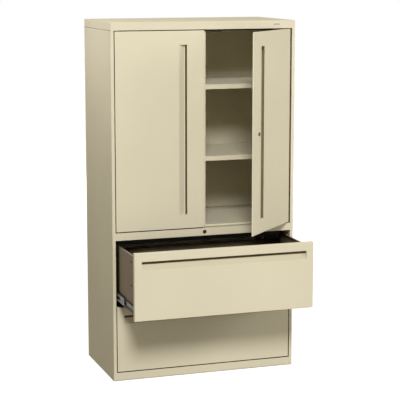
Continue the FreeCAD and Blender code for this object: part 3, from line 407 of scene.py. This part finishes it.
# Painted shade: dark strips that make the finger slots read as dark lines. The lighter copy is for the right
# door's slot, which faces more light.
slot_shade = moulded(
    "dark_slot_painted_shade", (0.100, 0.074, 0.036), (0.130, 0.098, 0.050),
    rough=0.85, grain=1500.0, depth=0.0002, **MATTE,
)
lit_slot_shade = moulded(
    "lighter_slot_painted_shade", (0.165, 0.131, 0.076), (0.205, 0.165, 0.100),
    rough=0.85, grain=1500.0, depth=0.0002, **MATTE,
)
cast_block = moulded(
    "cast_block", (0.10, 0.10, 0.105), (0.15, 0.145, 0.14),
    rough=0.62, grain=160.0, depth=0.0012, Metallic=0.8,
)
print("moulded and cast finishes ready")

# %% [markdown]
# Each solid says in the record which finish it has, so dressing is a lookup from that name. Sheet steel
# never has knife edges: a weld modifier joins the solid's split corners and a small bevel rounds them,
# which is where the bright lines along real sheet edges come from. Both are modifiers, so the solids stay
# as they are.

# %% Dress the solids
SLOT_FINISH = {
    "putty_paint": putty_coat,
    "pull_paint": door_pull_coat,
    "drawer_paint": shaded_drawer_box_coat,
    "zinc_plate": shaded_zinc,
    "cage_nylon": nylon,
    "lock_dark": dark_rim,
    "lock_nickel": plug_painted_reflection,
    "raw_iron": cast_block,
    "catch_plastic": black_moulding,
}
EDGE_ROUND = 0.0004
EDGE_ANGLE = math.radians(40)
JOIN_WITHIN = 0.00001
# Painted shade: these parts sit in dark gaps inside the case, so they are blacked instead of their zinc.
BLACKED_AS_SHADE = ("lock_rod", "interlock_bar", "drawer_lock_cam", "door_lock_cam", "drawer_hang_rails")
TURNED = ("pivots", "leveller", "housing", "plug")

plain_faces = bpy.data.node_groups.new("plain_faces", "GeometryNodeTree")
plain_faces.interface.new_socket("Geometry", in_out="INPUT", socket_type="NodeSocketGeometry")
plain_faces.interface.new_socket("Geometry", in_out="OUTPUT", socket_type="NodeSocketGeometry")
flat = plain_faces.nodes.new("GeometryNodeSetShadeSmooth")
flat.inputs["Shade Smooth"].default_value = False
plain_faces.links.new(plain_faces.nodes.new("NodeGroupInput").outputs[0], flat.inputs[0])
plain_faces.links.new(flat.outputs[0], plain_faces.nodes.new("NodeGroupOutput").inputs[0])

for entry in frame["record"]["subparts"]:
    solid = nodes[entry["node"]]
    finish = SLOT_FINISH[entry["material_slot"]]
    # Painted shade: the drawer pulls take the darker copy of the pull paint.
    if entry["node"].endswith("drawer_pull"):
        finish = drawer_pull_painted_shade
    # Painted shade: the blacked parts take black instead of their zinc.
    if entry["node"].endswith(BLACKED_AS_SHADE):
        finish = black_oxide_and_shade
    for holder in solid.material_slots:
        holder.material = finish
    if entry["node"].endswith(TURNED):
        continue
    joined = solid.modifiers.new("join_corners", "WELD")
    joined.merge_threshold = JOIN_WITHIN
    rounded = solid.modifiers.new("round_edges", "BEVEL")
    rounded.width = EDGE_ROUND
    rounded.segments = 2
    rounded.limit_method = "ANGLE"
    rounded.angle_limit = EDGE_ANGLE
    faceted = solid.modifiers.new("plain_faces", "NODES")
    faceted.node_group = plain_faces

# %% [markdown]
# Small turned things, such as rivets, screw heads and bumpers, are half outlines spun round an axis.
# Blender has a Screw modifier for that, but a few lines of bmesh make rings of points that can be
# six-sided too, which gives hex heads. All the heads on one body are one piece, because they always move
# together.

# %% A helper for spun heads
MM = 0.001
ROUND_SIDES = 20
HEX_SIDES = 6


def spun(mesh, outline, sides, place):
    """Adds a half outline, as (radius, height) in millimetres, spun round the place's own upright axis."""
    rings = []
    for radius, height in outline:
        count = sides if radius else 1
        turns = [2 * math.pi * step / sides for step in range(count)]
        points = [(radius * MM * math.cos(a), radius * MM * math.sin(a), height * MM) for a in turns]
        rings.append([mesh.verts.new(place @ Vector(point)) for point in points])
    for low, high in zip(rings, rings[1:]):
        for step in range(sides):
            after = (step + 1) % sides
            corners = [low[step % len(low)], low[after % len(low)]]
            corners += [high[after % len(high)], high[step % len(high)]]
            face = [corner for index, corner in enumerate(corners) if corner not in corners[:index]]
            if len(face) > 2:
                mesh.faces.new(face)


def facing(point, normal):
    """A place whose upright axis leaves a surface along its normal."""
    return Matrix.Translation(point) @ Vector(normal).to_track_quat("Z", "Y").to_matrix().to_4x4()


def finish_piece(name, mesh, finish, body):
    """Turns a bmesh into a piece that rides on a body, with the finish it is given."""
    bmesh.ops.recalc_face_normals(mesh, faces=mesh.faces)
    data = bpy.data.meshes.new(name)
    mesh.to_mesh(data)
    mesh.free()
    data.materials.append(finish)
    piece = bpy.data.objects.new(name, data)
    scene.collection.objects.link(piece)
    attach(piece, body)
    print("made", name, "with", len(data.polygons), "faces")


WASHER = [(0, 0), (4.2, 0), (4.2, 0.5), (3.9, 0.8), (0, 0.8)]
HEX_HEAD = [(0, 0.8), (3.1, 0.8), (3.1, 2.3), (2.7, 2.7), (0, 2.7)]
PAN_HEAD = [(0, 0), (3.8, 0), (3.8, 0.7), (3.4, 1.3), (2.4, 1.65), (1.2, 1.75), (1.0, 1.0), (0, 1.0)]
RIVET = [(0, 0), (3.4, 0), (3.3, 0.35), (2.6, 0.65), (1.5, 0.8), (1.0, 0.8), (0.9, 0.4), (0, 0.4)]
BUTTON = [(0, 0), (4.4, 0), (4.4, 0.3), (4.0, 0.5), (2.0, 0.5), (1.6, 0.3), (0, 0.3)]
BUMPER = [(0, 0), (3.3, 0), (3.3, 3.2), (3.0, 4.5), (2.2, 5.2), (1.0, 5.5), (0, 5.55)]

# %% [markdown]
# The drawer boxes have black hex washer heads in the strip above the slides, where a driver can reach:
# two of them show beside the open drawer's front. Pan heads hold the slides, and the middle members carry
# small black stop buttons. Each body's heads are one piece, placed from the box of the solid they sit on.

# %% Drawer screws, slide screws and buttons
SCREW_DROPS = (0.030, 0.1405)
FRONT_INSET = 0.058
REAR_INSET = 0.012
MEMBER_SCREWS = (0.05, 0.22, 0.385)
MEMBER_WEB = 0.0012
MIDDLE_BUTTONS = (0.028, 0.066, 0.225, 0.41)
CASE_SCREW_FRONT = 0.038
CASE_SCREW_REAR = 0.066
SLIDE_HALF = 0.0229

for drawer in ("upper", "lower"):
    low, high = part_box(f"{drawer}_drawer_sides")
    member_low, member_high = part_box(f"{drawer}_slide_drawer_members")
    member_middle = (member_low.z + member_high.z) / 2
    mesh = bmesh.new()
    for side in (-1, 1):
        normal = (side, 0, 0)
        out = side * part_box(f"{drawer}_drawer_hang_rails")[1].x
        for along in (low.y + FRONT_INSET, high.y - REAR_INSET):
            for drop in SCREW_DROPS:
                place = facing((out, along, high.z - drop), normal)
                spun(mesh, WASHER, ROUND_SIDES, place)
                spun(mesh, HEX_HEAD, HEX_SIDES, place)
        for along in MEMBER_SCREWS:
            place = facing((out + side * MEMBER_WEB, member_low.y + along, member_middle), normal)
            spun(mesh, PAN_HEAD, ROUND_SIDES, place)
    finish_piece(f"{drawer}_drawer_screws", mesh, black_oxide_and_shade, f"{drawer}_drawer")

for drawer in ("upper", "lower"):
    low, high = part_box(f"{drawer}_slide_middle_members")
    mesh = bmesh.new()
    for side in (-1, 1):
        for along in MIDDLE_BUTTONS:
            point = (side * high.x, low.y + along, (low.z + high.z) / 2)
            spun(mesh, BUTTON, ROUND_SIDES, facing(point, (side, 0, 0)))
    finish_piece(f"{drawer}_slide_buttons", mesh, black_moulding, f"{drawer}_slide_middle")

low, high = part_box("slide_case_members")
mesh = bmesh.new()
for side in (-1, 1):
    for middle in (low.z + SLIDE_HALF, high.z - SLIDE_HALF):
        for along in (low.y + CASE_SCREW_FRONT, high.y - CASE_SCREW_REAR):
            place = facing((side * (high.x - MEMBER_WEB), along, middle), (-side, 0, 0))
            spun(mesh, PAN_HEAD, ROUND_SIDES, place)
finish_piece("slide_case_screws", mesh, shaded_zinc, "cabinet")

# %% [markdown]
# Blind rivets hold the back sheet to its side flanges. They are flat, so the cabinet can stand against a
# wall, and they were painted together with the case.

# %% Rivets of the back
RIVET_INSET = 0.0225
RIVET_FIRST = 0.09
RIVET_PITCH = 0.15
RIVETS = 11

low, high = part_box("back_panel")
mesh = bmesh.new()
for side in (-1, 1):
    for step in range(RIVETS):
        point = (side * (high.x - RIVET_INSET), high.y, RIVET_FIRST + step * RIVET_PITCH)
        spun(mesh, RIVET, ROUND_SIDES, facing(point, (0, 1, 0)))
finish_piece("back_rivets", mesh, putty_coat, "cabinet")

# %% [markdown]
# The finger slot beside each lip reads as a dark line: a dark strip in the channel behind the lip paints
# that shade in. It is a thin folded strip, drawn once as a section across the left door's channel and run
# along it. The right door's copy is moved across, then turned with the open door about its hinge, and it
# is painted lighter, since that slot faces more light.

# %% Slot shade strips
SHADE_STRIP_THICK = 0.0005
PULL_FLANGE = 0.006
PULL_WALL = 0.001
END_CLEAR = 0.0015
LEFT_DOOR_SHOWN = 0.0125
RIGHT_DOOR_SHOWN = 0.003
PULL_STEP = 0.2145
DRAWER_FLOOR_SHOWN = 0.0215
DRAWER_SLOPE_RUN = 0.006
DRAWER_SLOPE_RISE = 0.0029


def strip(mesh, outer, inner, start, end, place):
    """A folded sheet between two sections of (across, deep) points, run from start to end."""
    outline = outer + inner[::-1]
    ends = []
    for run in (start, end):
        ends.append([mesh.verts.new(place(across, deep, run)) for across, deep in outline])
    count = len(outline)
    for index in range(count):
        after = (index + 1) % count
        mesh.faces.new((ends[0][index], ends[0][after], ends[1][after], ends[1][index]))
    for end_points in ends:
        for index in range(len(outer) - 1):
            opposite = count - 1 - index
            mesh.faces.new([end_points[i] for i in (index, index + 1, opposite - 1, opposite)])


hinge = next(joint for joint in frame["joints"] if joint["name"] == "right_door_swing")
hinge_at = Matrix.Translation(Vector(hinge["pos_m"]))
DOOR_OPEN = math.radians(45)
right_door_turn = hinge_at @ Matrix.Rotation(DOOR_OPEN, 4, "Z") @ hinge_at.inverted()

low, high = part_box("left_door_pull")
rim = low.y + PULL_WALL
floor = high.y - PULL_WALL
end = high.x - PULL_FLANGE
for side, step, turn, shown, shade_finish in (
    ("left", 0, Matrix.Identity(4), LEFT_DOOR_SHOWN, slot_shade),
    ("right", PULL_STEP, right_door_turn, RIGHT_DOOR_SHOWN, lit_slot_shade),
):
    outer = [(end - shown, floor), (end, floor), (end, rim)]
    inner = [(end - shown, floor - SHADE_STRIP_THICK), (end - SHADE_STRIP_THICK, floor - SHADE_STRIP_THICK), (end - SHADE_STRIP_THICK, rim)]
    mesh = bmesh.new()
    strip(
        mesh, outer, inner, low.z + END_CLEAR, high.z - END_CLEAR,
        lambda across, deep, run: turn @ Vector((across + step, deep, run)),
    )
    finish_piece(f"{side}_door_slot_shade_strip", mesh, shade_finish, f"{side}_door")

for drawer in ("upper", "lower"):
    low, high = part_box(f"{drawer}_drawer_pull")
    floor = high.y - PULL_WALL
    end = high.z - PULL_FLANGE
    fold = end - DRAWER_FLOOR_SHOWN
    outer = [(fold - DRAWER_SLOPE_RUN, floor - DRAWER_SLOPE_RISE), (fold, floor), (end, floor)]
    inner = [(across, deep - SHADE_STRIP_THICK) for across, deep in outer]
    mesh = bmesh.new()
    strip(
        mesh, outer, inner, low.x + END_CLEAR, high.x - END_CLEAR,
        lambda across, deep, run: Vector((run, deep, across)),
    )
    finish_piece(f"{drawer}_drawer_slot_shade_strip", mesh, slot_shade, f"{drawer}_drawer")

# %% [markdown]
# A black strip sits under the inner lip of the top cap, and both doors close against it. It is painted
# shade: it makes the gap above a shut door a dark line. The two magnet catches interrupt it.

# %% Shade strip above the doors
SHADE_STRIP_RUNS = ((-0.405, -0.097), (-0.043, 0.043), (0.097, 0.405))
SHADE_STRIP_CLEAR = 0.0005
SHADE_STRIP_WIDE = 0.006
SHADE_STRIP_SECTION = ((0.0, 0.0), (0.0, 0.0062), (0.0009, 0.0075), (0.0024, 0.0080))

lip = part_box("top_cap")[0].z
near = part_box("left_door_liner")[1].y + SHADE_STRIP_CLEAR
front_side = [(near + inward, lip - drop) for inward, drop in SHADE_STRIP_SECTION]
rear_side = [(near + SHADE_STRIP_WIDE - inward, lip - drop) for inward, drop in SHADE_STRIP_SECTION]
mesh = bmesh.new()
for start, end in SHADE_STRIP_RUNS:
    strip(mesh, front_side, rear_side, start, end, lambda across, deep, run: Vector((run, across, deep)))
finish_piece("door_gap_shade_strip", mesh, black_rubber_and_shade, "cabinet")

# %% [markdown]
# A rubber bumper sits low on the back of each door, at its free corner. It lands on the lip of the
# cupboard floor, so that steel never meets steel.

# %% Door bumpers
LEFT_BUMPER = -0.036
RIGHT_BUMPER = 0.056
BUMPER_RISE = 0.0042
BUMPER_SIDES = 24

liner_low, liner_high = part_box("left_door_liner")
for side, across, turn in (
    ("left", LEFT_BUMPER, Matrix.Identity(4)),
    ("right", RIGHT_BUMPER, right_door_turn),
):
    mesh = bmesh.new()
    point = (across, liner_high.y, liner_low.z + BUMPER_RISE)
    spun(mesh, BUMPER, BUMPER_SIDES, turn @ facing(point, (0, 1, 0)))
    finish_piece(f"{side}_door_bumper", mesh, black_rubber_and_shade, f"{side}_door")

# %% [markdown]
# A small plate sits at the right end of the top cap. On this cabinet it is blank: a thin stamping with a
# raised border, made by insetting the front face of a box twice and lowering its middle.

# %% Blank plate
PLATE_CENTRE = (0.3625, 1.6835)
PLATE_HALF = (0.015, 0.0034)
PLATE_THICK = 0.0009
PLATE_BORDER = 0.0007
PLATE_ROUND = 0.0002
PLATE_STEP = 0.0002
PLATE_SUNK = 0.0003

case_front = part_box("top_cap")[0].y
mesh = bmesh.new()
x, z = PLATE_CENTRE
wide, tall = PLATE_HALF
corner_points = [(x - wide, z - tall), (x + wide, z - tall), (x + wide, z + tall), (x - wide, z + tall)]
rear = [mesh.verts.new((a, case_front, b)) for a, b in corner_points]
fore = [mesh.verts.new((a, case_front - PLATE_THICK, b)) for a, b in corner_points]
for step in range(4):
    after = (step + 1) % 4
    mesh.faces.new((rear[step], rear[after], fore[after], fore[step]))
mesh.faces.new(rear)
mesh.faces.new(fore)
bmesh.ops.bevel(mesh, geom=list(mesh.edges), offset=PLATE_ROUND, segments=2, profile=0.5, affect="EDGES")
face = min(mesh.faces, key=lambda f: f.calc_center_median().y - f.calc_area())
bmesh.ops.inset_region(mesh, faces=[face], thickness=PLATE_BORDER)
bmesh.ops.inset_region(mesh, faces=[face], thickness=PLATE_STEP, depth=-PLATE_SUNK)
finish_piece("blank_plate", mesh, plate_metal, "cabinet")
